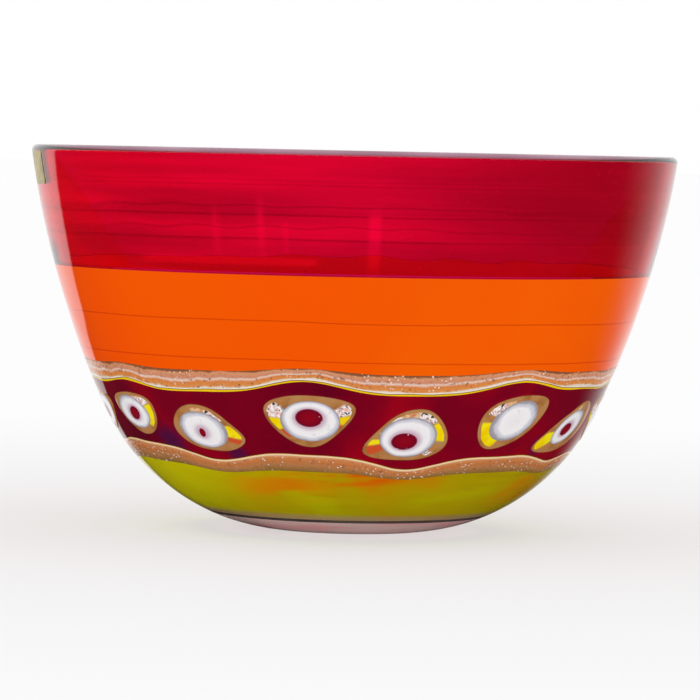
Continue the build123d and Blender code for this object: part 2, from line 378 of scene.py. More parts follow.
def ring(name, top, foot, rows):
    """A ring of the wall between two joints, or up to the lip line on the rounded rim if top is None."""
    radii, heights, levels, skins = [], [], [], []
    if top is None:
        bend = math.asin(LIP_LINE / (LIP_THICKNESS / 2))
        turns = np.linspace(0, bend, 4)
        rounding_out = [on_lip(a) for a in turns]
        rounding_in = [on_lip(math.pi - a) for a in turns]
        top_out = (np.full_like(theta, rim_out[0]), np.full_like(theta, rim_out[1]))
        top_in = (np.full_like(theta, rim_in[0]), np.full_like(theta, rim_in[1]))
    else:
        ro, zo, ri, zi = top.ends(-GAP / 2)
        top_out, top_in = (ro, zo), (ri, zi)
    _, foot_zo, _, foot_zi = foot.ends(GAP / 2)

    def row(r, z, level, skin):
        radii.append(r + 0 * theta)
        heights.append(z + 0 * theta)
        levels.append(level + 0 * theta)
        skins.append(skin + 0 * theta)

    def joint_rows(start, end, level):
        size = np.hypot(end[0] - start[0], end[1] - start[1])
        for s in (JOINT_EDGE / size, 1 - JOINT_EDGE / size):
            row(start[0] + (end[0] - start[0]) * s, start[1] + (end[1] - start[1]) * s, level, 0)

    for t in np.linspace(0, 1, rows + 1):
        z = foot_zo + (top_out[1] - foot_zo) * t
        row(outer(z) - unevenness(theta, z), z, t, 1)
    if top is None:
        for point in rounding_out[1:]:
            row(point[0], point[1], 1, 1)
        for point in rounding_in[:0:-1]:
            row(point[0], point[1], 1, 1)
    else:
        joint_rows((radii[-1], heights[-1]), top_in, 1)
    for t in np.linspace(0, 1, rows + 1):
        z = top_in[1] + (foot_zi - top_in[1]) * t
        row(inner(z), z, 1 - t, 1)
    joint_rows((radii[-1], heights[-1]), (radii[0], heights[0]), 0)
    radii, heights, levels, skins = (np.array(a).T for a in (radii, heights, levels, skins))
    turn = theta[:, None]
    points = np.stack([radii * np.sin(turn), -radii * np.cos(turn), heights], axis=-1).reshape(-1, 3)
    values = {"level": levels.ravel(), "skin": skins.ravel()}
    return finish_mesh(name, points, loop_faces(TURNS, radii.shape[1]), RING_CREASE, values)


def lathe(name, profile):
    """A closed solid turned about the axis from a profile of (radius, height), which may end on the axis."""
    points, faces, columns = [], [], []
    for radius, height in profile:
        if radius < ON_AXIS:
            columns.append([len(points)] * TURNS)
            points.append((0, 0, height))
        else:
            start = len(points)
            points += [(radius * math.sin(a), -radius * math.cos(a), height) for a in theta]
            columns.append(list(range(start, start + TURNS)))
    closed = profile[0][0] > ON_AXIS
    pairs = list(zip(columns, columns[1:] + ([columns[0]] if closed else [])))
    for low, high in pairs:
        for i in range(TURNS):
            j = (i + 1) % TURNS
            face = []
            for v in (low[i], low[j], high[j], high[i]):
                if v not in face:
                    face.append(v)
            faces.append(face)
    return finish_mesh(name, points, faces, LATHE_CREASE)


def lip_profile():
    bend = math.asin((LIP_LINE + GAP) / (LIP_THICKNESS / 2))
    return [tuple(on_lip(a)) for a in np.linspace(bend, math.pi - bend, 25)]


def foot_profile():
    sag = [(r, PONTIL_DEPTH * (1 - (r / PONTIL_RADIUS) ** 2)) for r in np.linspace(0, PONTIL_RADIUS, 9)]
    flat = [(r, 0.0) for r in np.linspace(PONTIL_RADIUS, BASE_RADIUS, 6)[1:]]
    _, zo, _, zi = (float(a[0]) for a in JOINTS["foot_top"].ends(-GAP / 2))
    side = [(float(outer(z)), z) for z in np.linspace(0, zo, 14)[1:]]
    well = [(float(inner(z)), z) for z in np.linspace(zi, FLOOR_THICKNESS, 14)]
    middle = [(r, FLOOR_THICKNESS) for r in np.linspace(floor_edge, 0, 8)[1:]]
    return sag + flat + side + well + middle


# ---- Cane slices ----
PETALS = 144  # points round a slice
OUTLINE_POINTS = 2000  # on the curve that they are read from
LANDINGS = 12  # steps that bring a slice's points down to the surface
SINK = 0.02  # how far a slice stops short of its pocket's floor
SKIRT = 0.2  # depth down a slice's side at which it has turned dark


class Slice:
    """The plane that a cane slice is drawn in, and how its points land on the bowl's surface."""

    def __init__(self, angle, height):
        turn, lean = math.radians(angle), float(outer_lean(np.array(height)))
        radius = float(outer(np.array(height)))
        self.centre = np.array([radius * math.sin(turn), -radius * math.cos(turn), height])
        facing = outward(lean)
        self.normal = np.array([facing[0] * math.sin(turn), -facing[0] * math.cos(turn), facing[1]])
        self.across = np.array([math.cos(turn), math.sin(turn), 0.0])
        self.up = np.cross(self.normal, self.across)
        self.lean = lean

    def place(self, u, v, depth):
        """Points at (u, v) on the slice, this far under the bowl's surface."""
        flat = self.centre + np.multiply.outer(u, self.across) + np.multiply.outer(v, self.up)
        w = np.zeros(len(flat))
        for _ in range(LANDINGS):
            p = flat + w[:, None] * self.normal
            reach = np.hypot(p[:, 0], p[:, 1])
            turn = np.arctan2(p[:, 0], -p[:, 1])
            w -= (reach - (outer(p[:, 2]) - unevenness(turn, p[:, 2]))) * math.cos(self.lean)
        return flat + (w - depth)[:, None] * self.normal


def smooth_outline(name, mirrored):
    """The slice's outline as a smooth closed curve of closely spaced points."""
    corners = np.array(OUTLINES[name], float)
    if mirrored:
        corners[:, 0] *= -1
        corners = corners[::-1]
    lengths = np.hypot(*np.diff(np.vstack([corners, corners[:1]]), axis=0).T)
    at = np.concatenate([[0], np.cumsum(lengths)[:-1]])
    total = lengths.sum()
    where = np.linspace(0, total, OUTLINE_POINTS, endpoint=False)
    x = periodic_spline(at, corners[:, 0], where, total)
    y = periodic_spline(at, corners[:, 1], where, total)
    return x, y


def blob(values, mirrored):
    """An ellipse's values with the tilt in radians, flipped left to right if mirrored."""
    across, up, half_width, half_height, tilt = values
    side = -1 if mirrored else 1
    return side * across, up, half_width, half_height, math.radians(side * tilt)


def ellipse_points(values, mirrored, scale=1.0):
    cx, cy, a, b, tilt = blob(values, mirrored)
    turns = np.linspace(0, 2 * math.pi, PETALS, endpoint=False)
    x, y = scale * a * np.cos(turns), scale * b * np.sin(turns)
    return cx + x * math.cos(tilt) - y * math.sin(tilt), cy + x * math.sin(tilt) + y * math.cos(tilt)


def matched_outline(name, mirrored):
    """Outline points, each on the ray from the white's centre through the matching ellipse point."""
    ex, ey = ellipse_points(WHITES[name], mirrored)
    cx, cy = blob(WHITES[name], mirrored)[:2]
    ox, oy = smooth_outline(name, mirrored)
    angle = np.arctan2(oy - cy, ox - cx)
    reach = np.hypot(ox - cx, oy - cy)
    order = np.argsort(angle)
    wanted = np.arctan2(ey - cy, ex - cx)
    size = np.interp(wanted, angle[order], reach[order], period=2 * math.pi)
    return cx + size * np.cos(wanted), cy + size * np.sin(wanted)


def slab(name, seat, inside, outside, rows, top_depth, values_at):
    """A closed solid between two closed curves, or from a centre point if inside is one point."""
    solid = not isinstance(inside[0], np.ndarray)
    us, vs, ts = [], [], []
    for t in np.linspace(0, 1, rows + 1):
        if solid and t == 0:
            continue
        us.append(inside[0] + (outside[0] - inside[0]) * t)
        vs.append(inside[1] + (outside[1] - inside[1]) * t)
        ts.append(np.full(PETALS, t))
    us, vs, ts = (np.array(a).T for a in (us, vs, ts))
    count = us.shape[1]
    u, v, t = us.ravel(), vs.ravel(), ts.ravel()
    rim_u, rim_v, rim_t = us[:, -1], vs[:, -1], ts[:, -1]
    bottom = MURRINA_DEPTH - SINK
    layers = [
        (u, v, t, top_depth(t), 0.0),
        (u, v, t, bottom + 0 * t, 1.0),
        (rim_u, rim_v, rim_t, top_depth(rim_t) + SKIRT, 1.0),
    ]
    if solid:
        centre = (np.array([inside[0]]), np.array([inside[1]]), np.zeros(1))
        layers += [(*centre, top_depth(centre[2]), 0.0), (*centre, bottom + 0 * centre[2], 1.0)]
    points = np.vstack([seat.place(across, up, depth) for across, up, _, depth, _ in layers])
    under, skirt = PETALS * count, 2 * PETALS * count
    crown = skirt + PETALS
    faces = []
    for i in range(PETALS):
        j = (i + 1) % PETALS
        for a in range(count - 1):
            faces.append((i * count + a, i * count + a + 1, j * count + a + 1, j * count + a))
            b = under + a
            faces.append((b + i * count, b + j * count, b + j * count + 1, b + i * count + 1))
        last = count - 1
        faces.append((i * count + last, skirt + i, skirt + j, j * count + last))
        faces.append((skirt + i, under + i * count + last, under + j * count + last, skirt + j))
        if solid:
            faces.append((crown, i * count, j * count))
            faces.append((crown + 1, under + j * count, under + i * count))
        else:
            faces.append((i * count, j * count, under + j * count, under + i * count))
    u_all, v_all, t_all = (np.concatenate([layer[k] for layer in layers]) for k in range(3))
    deep = np.concatenate([np.full(len(layer[0]), layer[4]) for layer in layers])
    values = {"deep": deep, "reach": t_all}
    values.update(values_at(u_all, v_all, t_all))
    return finish_mesh(name, points, faces, SLICE_CREASE, values)


# What shows between the white and the tan edge of each slice, by angle round the white's centre.
SECTORS = {
    "bean": [("crystal", 18, 62), ("peach", 62, 130), ("yellow", -30, 16)],
    "drop": [("crystal", 24, 72), ("peach", 72, 112), ("yellow", -14, 10), ("red", -24, -15)],
    "almond": [
        ("crystal", 152, 176), ("yellow", 177, 199), ("red", 200, 222),
        ("crystal", 9, 27), ("yellow", -7, 8), ("red", -16, -8),
    ],
    "dome": [
        ("crystal", 112, 172), ("peach", 72, 112), ("crystal", 34, 72), ("yellow", -8, 30),
        ("yellow", 186, 196), ("red", 197, 212), ("crystal", -48, -34),
    ],
    "oval": [("crystal", 132, 168), ("peach", 104, 130), ("yellow", 184, 238)],
    "wing": [("yellow", 190, 214), ("peach", 60, 120)],
}
SECTOR_KINDS = ("crystal", "yellow", "red", "peach")
SECTOR_BLUR = 2  # degrees to each side of a sector's end


def sector_values(name, mirrored, u, v):
    cx, cy = blob(WHITES[name], mirrored)[:2]
    side = -1 if mirrored else 1
    angle = np.degrees(np.arctan2(v - cy, side * (u - cx)))
    values = {kind: np.zeros_like(u) for kind in SECTOR_KINDS}
    for kind, start, end in SECTORS[name]:
        offset = np.abs((angle - (start + end) / 2 + 180) % 360 - 180)
        half = (end - start) / 2
        values[kind] = np.maximum(values[kind], 1 - fade(offset, half - SECTOR_BLUR, half + SECTOR_BLUR))
    return values


# ---- Materials ----
def new_material(name):
    material = bpy.data.materials.new(name)
    material.use_nodes = True
    tree = material.node_tree
    return material, tree, tree.nodes["Principled BSDF"], tree.nodes["Material Output"]


def srgb(r, g, b):
    """Linear colour from display values 0 to 255."""
    out = []
    for c in (r / 255, g / 255, b / 255):
        out.append(c / 12.92 if c <= 0.04045 else ((c + 0.055) / 1.055) ** 2.4)
    return (*out, 1.0)


class Nodes:
    """Small helpers that add and wire shader nodes."""

    def __init__(self, tree):
        self.tree = tree
        coordinates = tree.nodes.new("ShaderNodeTexCoord")
        self.place = coordinates.outputs["Object"]

    def put(self, node, key, value):
        """Set an input, named or numbered, to a value or link it to a socket."""
        socket = node.inputs[key]
        if isinstance(value, bpy.types.NodeSocket):
            self.tree.links.new(value, socket)
        else:
            socket.default_value = value

    def attribute(self, name):
        node = self.tree.nodes.new("ShaderNodeAttribute")
        node.attribute_name = name
        return node.outputs["Fac"]

    def math(self, operation, a, b=0.0, clamp=False):
        node = self.tree.nodes.new("ShaderNodeMath")
        node.operation = operation
        node.use_clamp = clamp
        self.put(node, 0, a)
        self.put(node, 1, b)
        return node.outputs[0]

    def vary(self, value, noise, amount):
        """The value, moved up and down by the noise, by up to half of the amount each way."""
        return self.math("ADD", value, self.math("MULTIPLY", self.math("SUBTRACT", noise, 0.5), amount))

    def both(self, a, b):
        return self.math("MULTIPLY", a, b)

    def stretch(self, scale):
        node = self.tree.nodes.new("ShaderNodeMapping")
        self.put(node, "Vector", self.place)
        node.inputs["Scale"].default_value = scale
        return node.outputs[0]

    def noise(self, scale, detail=3.0, roughness=0.5, vector=None, distortion=0.0):
        node = self.tree.nodes.new("ShaderNodeTexNoise")
        self.put(node, "Vector", vector or self.place)
        self.put(node, "Scale", scale)
        self.put(node, "Detail", detail)
        self.put(node, "Roughness", roughness)
        self.put(node, "Distortion", distortion)
        return node.outputs["Fac"]

    def cells(self, scale):
        """Distance to the nearest of many scattered points."""
        node = self.tree.nodes.new("ShaderNodeTexVoronoi")
        self.put(node, "Vector", self.place)
        self.put(node, "Scale", scale)
        return node.outputs["Distance"]

    def ramp(self, value, *stops, mode="EASE"):
        node = self.tree.nodes.new("ShaderNodeValToRGB")
        ramp = node.color_ramp
        ramp.interpolation = mode
        while len(ramp.elements) < len(stops):
            ramp.elements.new(1.0)
        for element, (position, colour) in zip(ramp.elements, stops):
            element.position = position
            element.color = colour if isinstance(colour, tuple) else (colour, colour, colour, 1.0)
        self.put(node, "Fac", value)
        return node.outputs["Color"]

    def span(self, value, low, high, to_low=0.0, to_high=1.0):
        node = self.tree.nodes.new("ShaderNodeMapRange")
        node.interpolation_type = "SMOOTHSTEP"
        for key, number in (("From Min", low), ("From Max", high), ("To Min", to_low), ("To Max", to_high)):
            node.inputs[key].default_value = number
        self.put(node, "Value", value)
        return node.outputs["Result"]

    def mix(self, factor, a, b, blend="MIX"):
        node = self.tree.nodes.new("ShaderNodeMix")
        node.data_type = "RGBA"
        node.blend_type = blend
        self.put(node, 0, factor)
        self.put(node, 6, a)
        self.put(node, 7, b)
        return node.outputs[2]

    def axis(self, which):
        if not hasattr(self, "axes"):
            node = self.tree.nodes.new("ShaderNodeSeparateXYZ")
            self.put(node, "Vector", self.place)
            self.axes = node.outputs
        return self.axes[which]

    def rise(self, start, end):
        """0 at one height and 1 at another, smooth between them and level beyond, in millimetres."""
        return self.span(self.axis("Z"), start * MM, end * MM)

    def stripe(self, height, half_width, wander):
        """1 on a thin level line that wanders up and down a little."""
        drifted = self.vary(self.axis("Z"), self.noise(9.0, 2.0), wander * 2 * MM)
        away = self.math("ABSOLUTE", self.math("SUBTRACT", drifted, height * MM))
        return self.span(away, half_width * MM, 0.3 * half_width * MM)

    def near(self, angle, height, size, flat=1.0):
        """1 at a place on the outer surface, fading to 0 at this distance, or sooner up and down if flat."""
        node = self.tree.nodes.new("ShaderNodeVectorMath")
        node.operation = "DISTANCE"
        self.put(node, 0, self.stretch((1, 1, flat)))
        turn, radius = math.radians(angle), float(outer(np.array(height))) * MM
        spot = (radius * math.sin(turn), -radius * math.cos(turn), height * MM * flat)
        node.inputs[1].default_value = spot
        return self.span(node.outputs["Value"], size * MM, 0.2 * size * MM)

    def sideways(self, angle):
        """Distance along the tangent at this angle, and how far a point lies to that side."""
        turn = math.radians(angle)
        out = []
        for direction in ((math.cos(turn), math.sin(turn), 0), (math.sin(turn), -math.cos(turn), 0)):
            node = self.tree.nodes.new("ShaderNodeVectorMath")
            node.operation = "DOT_PRODUCT"
            self.put(node, 0, self.place)
            node.inputs[1].default_value = direction
            out.append(node.outputs["Value"])
        return out

    def streak(self, angle, low, high, half_width):
        """1 on an upright line between two heights on one side of the bowl, the mask of a painted highlight.
        """
        across, outwards = self.sideways(angle)
        thin = self.span(self.math("ABSOLUTE", across), half_width * MM, 0.25 * half_width * MM)
        side = self.span(outwards, 0.0, 20 * MM)
        middle = (low + high) / 2
        ends = self.both(self.rise(low, middle - 4), self.rise(high, middle + 4))
        return self.both(self.both(thin, side), ends)

    def dash(self, height, half_height, from_x, to_x, wander):
        """1 on a level streak across part of the front, between two distances from the middle, the mask of a
        painted highlight.
        """
        line = self.stripe(height, half_height, wander)
        starts = self.span(self.axis("X"), (from_x - 6) * MM, from_x * MM)
        stops = self.span(self.axis("X"), (to_x + 6) * MM, to_x * MM)
        front = self.span(self.axis("Y"), 0.0, -20 * MM)
        return self.both(self.both(line, self.both(starts, stops)), front)

    def bump(self, height, strength, distance=0.0004):
        node = self.tree.nodes.new("ShaderNodeBump")
        node.inputs["Strength"].default_value = strength
        node.inputs["Distance"].default_value = distance
        self.put(node, "Height", height)
        return node.outputs["Normal"]


GLASS_IOR = 1.5


def absorb(tree, output, kept, thickness):
    """Colours the light inside the glass: kept is what is left of white after this many millimetres."""
    losses = [-math.log(max(k, 1e-4)) / (thickness * MM) for k in kept]
    node = tree.nodes.new("ShaderNodeVolumeAbsorption")
    density = max(losses)
    node.inputs["Density"].default_value = density
    node.inputs["Color"].default_value = (*(1 - loss / density for loss in losses), 1.0)
    tree.links.new(node.outputs[0], output.inputs["Volume"])


def glass(name, kept, thickness, roughness=0.02, transmission=1.0, wave=0.15):
    material, tree, shader, output = new_material(name)
    n = Nodes(tree)
    shader.inputs["Transmission Weight"].default_value = transmission
    shader.inputs["Roughness"].default_value = roughness
    shader.inputs["IOR"].default_value = GLASS_IOR
    absorb(tree, output, kept, thickness)
    if wave:
        soft = n.noise(28.0, 2.0, vector=n.stretch((1, 1, 1.6)))
        n.put(shader, "Normal", n.bump(soft, wave, 0.0006))
    return material, n, shader


def enamel(name, roughness=0.06):
    material, tree, shader, _ = new_material(name)
    n = Nodes(tree)
    shader.inputs["Roughness"].default_value = roughness
    shader.inputs["IOR"].default_value = GLASS_IOR
    return material, n, shader


CLEAR = (1, 1, 1, 1)
# Dark level lines in the ruby: height, how far each wanders, and strength.
RUBY_LINES = [(134.0, 0.5, 0.22), (123.0, 0.7, 0.5), (114.2, 0.9, 0.42)]
# Painted highlights, bright upright streaks of light shining through the glass's own tooling streaks: angle,
# from this height, to this one, half width, and strength.
RUBY_HIGHLIGHTS = [
    (3.8, 99, 130, 3.4, 1.0), (-16.5, 103, 136, 2.0, 0.7),
    (-25.0, 104, 130, 1.8, 0.6), (-12.0, 108, 122, 1.6, 0.5),
]

ruby, n, shader = glass("ruby_glass", (0.985, 0.012, 0.2), 4.4, wave=0.0)
streaks = n.noise(9.0, 3.0, vector=n.stretch((0.7, 0.7, 9.0)))
base = n.ramp(streaks, (0.35, srgb(216, 190, 206)), (0.65, srgb(248, 224, 234)))
for height, wander, weight in RUBY_LINES:
    base = n.mix(n.both(n.stripe(height, 0.5, wander), weight), base, srgb(140, 100, 124))
# Painted highlights: bright upright streaks lighten the ruby towards clear.
for angle, low, high, width, weight in RUBY_HIGHLIGHTS:
    base = n.mix(n.both(n.streak(angle, low, high, width), weight), base, CLEAR)
# Painted highlight: a bright level streak across the front of the ruby.
base = n.mix(n.both(n.dash(106.2, 2.2, -74, -16, 0.6), 0.85), base, CLEAR)
# Painted shade: the ruby darker towards the right side.
base = n.mix(n.span(n.axis("X"), 0.0, 0.11, 0.0, 0.75), base, srgb(190, 170, 184))
# Painted glints: small bright points on seeds in the glass.
glinting_seeds = n.both(n.span(n.cells(170.0), 0.11, 0.05), n.span(n.noise(24.0, 2.0), 0.54, 0.60))
base = n.mix(glinting_seeds, base, CLEAR)
base = n.mix(n.rise(102.4, 101.3), base, srgb(150, 40, 60))
n.put(shader, "Base Color", base)
ripples = n.noise(34.0, 2.0, vector=n.stretch((1, 1, 0.45)))
calm = n.both(ripples, n.rise(143.0, 132.0))
n.put(shader, "Normal", n.bump(calm, 0.07, 0.0006))

orange, n, shader = enamel("orange_glass", 0.04)
cloud = n.noise(7.0, 3.0, vector=n.stretch((1, 1, 0.5)))
base = n.ramp(cloud, (0.3, srgb(255, 84, 0)), (0.55, srgb(255, 92, 0)), (0.75, srgb(255, 104, 2)))
for height in (84.0, 69.5):
    base = n.mix(n.both(n.stripe(height, 0.35, 1.6), 0.6), base, srgb(206, 52, 2))
n.put(shader, "Base Color", n.mix(n.attribute("skin"), srgb(120, 6, 8), base))
n.put(shader, "Normal", n.bump(n.noise(30.0, 2.0, vector=n.stretch((1, 1, 1.6))), 0.15, 0.0006))


def bubbly(name, stops):
    """Clear glass full of gold dust and fine bubbles, coloured by height between its joints."""
    material, n, shader = glass(name, (0.9, 0.75, 0.6), 4.4, roughness=0.08, transmission=0.12)
    wobble = n.math("MULTIPLY_ADD", n.noise(60.0, 4.0, 0.6, vector=n.stretch((1, 1, 0.4))), 0.7)
    wobble.node.inputs[2].default_value = -0.35
    band = n.math("ADD", n.attribute("level"), wobble, clamp=True)
    base = n.ramp(band, *stops, mode="LINEAR")
    dust = n.noise(700.0, 3.0, 0.65)
    base = n.mix(n.span(dust, 0.55, 0.72), base, srgb(150, 96, 70))
    glinting_seeds = n.cells(650.0)
    lit = n.noise(90.0, 2.0)
    shining = n.both(n.span(glinting_seeds, 0.26, 0.14), n.span(lit, 0.45, 0.6))
    base = n.mix(shining, base, srgb(255, 250, 245))
    n.put(shader, "Base Color", base)
    n.put(shader, "Normal", n.bump(glinting_seeds, 0.4, 0.0004))
    return material


upper_bubbles = bubbly("upper_bubble_glass", [
    (0.0, srgb(252, 238, 222)), (0.10, srgb(240, 158, 84)), (0.36, srgb(238, 142, 74)),
    (0.50, srgb(252, 226, 210)), (0.60, srgb(226, 152, 120)), (0.86, srgb(236, 164, 118)),
    (0.96, srgb(150, 94, 58)),
])
lower_bubbles = bubbly("lower_bubble_glass", [
    (0.0, srgb(150, 118, 50)), (0.15, srgb(172, 122, 72)), (0.45, srgb(202, 136, 84)),
    (0.7, srgb(214, 130, 72)), (1.0, srgb(230, 150, 92)),
])

gold, n, shader = enamel("gold_glass", 0.06)
up_thread = n.vary(n.attribute("level"), n.noise(60.0, 2.0), 1.1)
base = n.ramp(
    up_thread, (0.40, srgb(250, 206, 24)), (0.52, srgb(60, 14, 12)), (0.60, srgb(60, 14, 12)),
    (0.70, srgb(250, 236, 220)), mode="LINEAR",
)
n.put(shader, "Base Color", n.mix(n.attribute("skin"), srgb(90, 4, 14), base))

# Purple clouds in the cranberry: angle, height and size.
PURPLE_CLOUDS = [
    (-48, 36, 11), (-60, 40, 8), (52, 37, 7), (-28, 33, 6), (118, 40, 10), (205, 38, 12), (255, 39, 9),
]

cranberry, n, shader = glass("cranberry_glass", (0.75, 0.05, 0.16), 5.5, transmission=0.5)
swirl = n.noise(16.0, 3.0, distortion=0.6)
base = n.ramp(swirl, (0.32, srgb(128, 2, 44)), (0.52, srgb(160, 4, 44)), (0.70, srgb(200, 6, 40)))
for angle, height, size in PURPLE_CLOUDS:
    cloud = n.both(n.near(angle, height, size), n.span(n.noise(70.0, 3.0), 0.42, 0.62))
    base = n.mix(cloud, base, srgb(104, 24, 88))
n.put(shader, "Base Color", base)

cream, n, shader = enamel("cream_glass", 0.06)
up_thread = n.vary(n.attribute("level"), n.noise(70.0, 2.0), 0.6)
base = n.ramp(
    up_thread, (0.25, srgb(226, 160, 110)), (0.45, srgb(252, 226, 192)), (0.72, srgb(250, 222, 176)),
    (0.84, srgb(236, 190, 60)), (0.95, srgb(80, 20, 16)), mode="LINEAR",
)
n.put(shader, "Base Color", n.mix(n.attribute("skin"), srgb(90, 6, 14), base))

green, n, shader = glass("green_glass", (0.95, 0.92, 0.08), 6.5, transmission=0.35)
grain = n.noise(13.0, 3.0, vector=n.stretch((1, 1, 2.2)), distortion=0.5)
base = n.ramp(grain, (0.40, srgb(210, 204, 4)), (0.54, srgb(206, 186, 4)), (0.68, srgb(232, 156, 6)))
# Painted orange light at the front of the green, reflected and shining through from the inside, in wisps and
# tongues.
wisps = n.noise(36.0, 3.0, vector=n.stretch((1, 1, 5)))
painted_amber_light = n.both(n.near(-20.0, 21.0, 30.0, 3.2), n.span(wisps, 0.34, 0.6))
base = n.mix(painted_amber_light, base, srgb(244, 150, 4))
tongues = n.noise(50.0, 3.0, vector=n.stretch((1, 1, 6)))
painted_orange_light = n.both(n.near(0.0, 25.5, 34.0, 7.0), n.span(tongues, 0.38, 0.6))
base = n.mix(painted_orange_light, base, srgb(252, 104, 4))
fine = n.noise(30.0, 4.0, vector=n.stretch((1, 1, 8.0)))
base = n.mix(n.span(fine, 0.5, 0.8, 0.0, 0.45), base, srgb(160, 142, 4))
# Painted light: paler, brighter yellow towards the left side.
base = n.mix(n.span(n.axis("X"), -0.02, -0.07, 0.0, 0.7), base, srgb(240, 232, 4))
base = n.mix(n.rise(10.6, 8.0), base, srgb(190, 160, 118))
n.put(shader, "Base Color", base)

smoke, n, shader = glass("smoke_glass", (0.5, 0.45, 0.45), 5.0, transmission=0.4)
n.put(shader, "Base Color", n.ramp(n.noise(60.0), (0.3, srgb(84, 72, 74)), (0.7, srgb(112, 98, 92))))

foot, n, shader = glass("foot_glass", (0.98, 0.93, 0.92), 9.0, transmission=0.15)
rings = n.noise(20.0, 3.0, vector=n.stretch((1, 1, 14.0)))
base = n.ramp(rings, (0.35, srgb(238, 172, 172)), (0.5, srgb(230, 196, 190)), (0.65, srgb(244, 202, 200)))
n.put(shader, "Base Color", base)

lip, n, shader = glass("lip_glass", (0.6, 0.42, 0.5), 3.0)
base = n.ramp(n.noise(30.0, 2.0), (0.3, srgb(215, 196, 205)), (0.7, srgb(240, 232, 235)))
n.put(shader, "Base Color", n.mix(n.rise(145.0, 146.4), srgb(190, 60, 90), base))

white, n, shader = enamel("white_glass", 0.06)
reach = n.attribute("reach")
mottled = n.noise(420.0, 3.0)
wide = n.vary(reach, n.noise(140.0, 2.0), 0.35)
base = n.ramp(
    wide, (0.0, srgb(246, 244, 246)), (0.62, srgb(252, 250, 252)), (0.80, srgb(216, 216, 226)),
    (0.97, srgb(164, 158, 166)),
)
base = n.mix(n.both(n.attribute("halo"), 0.75), base, srgb(196, 150, 178))
base = n.mix(n.span(mottled, 0.58, 0.8, 0.0, 0.5), base, srgb(206, 206, 216))
n.put(shader, "Base Color", n.mix(n.attribute("deep"), base, srgb(150, 120, 120)))

core, n, shader = enamel("core_glass", 0.06)
reach = n.attribute("reach")
base = n.ramp(
    reach, (0.0, srgb(150, 6, 26)), (0.55, srgb(142, 6, 32)), (0.9, srgb(120, 6, 34)),
    (1.0, srgb(150, 70, 96)),
)
glints = n.both(n.span(n.cells(420.0), 0.16, 0.08), n.span(reach, 0.7, 0.85))
n.put(shader, "Base Color", n.mix(glints, base, srgb(255, 240, 240)))

casing, n, shader = enamel("amber_glass", 0.06)
edge, deep = n.attribute("edge"), n.attribute("deep")
grain = n.noise(160.0, 3.0)
tan = n.ramp(grain, (0.3, srgb(166, 108, 56)), (0.55, srgb(190, 134, 80)), (0.75, srgb(178, 142, 96)))
# Painted shade: a dark hairline round the slice's edge, where its relief casts shadow.
tan = n.mix(n.span(edge, 0.30, 0.12), tan, srgb(120, 52, 40))
# Painted reflections and glints: the clear crinkled glass shown as bright and dark facets.
facet_reflections = n.ramp(
    n.noise(330.0, 1.5, distortion=1.4),
    (0.34, srgb(24, 12, 12)), (0.40, srgb(250, 240, 236)), (0.50, srgb(255, 253, 252)),
    (0.55, srgb(236, 150, 140)), (0.60, srgb(255, 244, 240)), (0.66, srgb(28, 14, 12)),
    (0.74, srgb(244, 226, 214)), mode="LINEAR",
)
folds = n.noise(240.0, 3.0, 0.6, distortion=1.0)
peach = n.ramp(folds, (0.35, srgb(226, 150, 84)), (0.5, srgb(238, 200, 156)), (0.7, srgb(214, 120, 70)))
tint = n.noise(200.0, 2.0)
lemon = n.ramp(tint, (0.35, srgb(250, 214, 0)), (0.6, srgb(255, 236, 20)), (0.75, srgb(246, 190, 10)))
inside = tan
for kind, colour in (("peach", peach), ("crystal", facet_reflections), ("yellow", lemon), ("red", srgb(214, 84, 44))):
    inside = n.mix(n.attribute(kind), inside, colour)
ragged = n.vary(edge, n.noise(260.0, 2.0), 1.2)
base = n.mix(n.span(ragged, 1.35, 1.65), tan, inside)
n.put(shader, "Base Color", n.mix(deep, base, srgb(70, 6, 14)))

foil, n, shader = enamel("foil", 0.3)
shader.inputs["Metallic"].default_value = 0.8
n.put(shader, "Base Color", n.ramp(n.noise(300.0), (0.3, srgb(150, 132, 60)), (0.7, srgb(196, 180, 96))))


# ---- Pieces ----
def dress(obj, material, node):
    """Give a mesh its glass and the CAD node that it stands in for."""
    obj.data.materials.append(material)
    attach(obj, "root")
    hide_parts(node)


J = JOINTS
dress(lathe("lip_glass_bead", lip_profile()), lip, "lip_wrap")
dress(ring("ruby_ring", None, J["ruby_foot"], 72), ruby, "ruby_band")
dress(ring("orange_ring", J["ruby_foot"], J["orange_foot"], 64), orange, "orange_band")
dress(ring("upper_bubble_ring", J["orange_foot"], J["wrap_foot"], 16), upper_bubbles, "upper_bubble_wrap")
dress(ring("gold_line", J["wrap_foot"], J["gold_foot"], 8), gold, "gold_thread")
cranberry_ring = ring("cranberry_ring", J["gold_foot"], J["cranberry_foot"], 40)
dress(cranberry_ring, cranberry, "cranberry_band")
dress(ring("cream_line", J["cranberry_foot"], J["cream_foot"], 8), cream, "cream_thread")
dress(ring("lower_bubble_ring", J["cream_foot"], J["green_top"], 14), lower_bubbles, "lower_bubble_wrap")
dress(ring("green_ring", J["green_top"], J["green_foot"], 30), green, "green_band")
dress(ring("smoke_line", J["green_foot"], J["foot_top"], 4), smoke, "smoke_thread")
dress(lathe("foot_glass_disc", foot_profile()), foot, "foot_gather")

BULGE = 0.22  # how far the middle of a slice stands out of the ring round it
POCKET_REACH = 6.0  # of each cutter beyond the surface
# Shares of full size that the parts of a slice are drawn to, so that no two faces coincide.
CASING_SHARE, WHITE_SHARE, CORE_SHARE = 0.998, 0.995, 0.99


def swell(t):
    return -BULGE * (1 - fade(t, 0.35, 1.0))


def flush(t):
    return -BULGE + 0 * t


def plain(u, v, t):
    return {"halo": 0 * t}


def haloed(u, v, t):
    return {"halo": 1 - fade(t, 0.0, 0.4)}


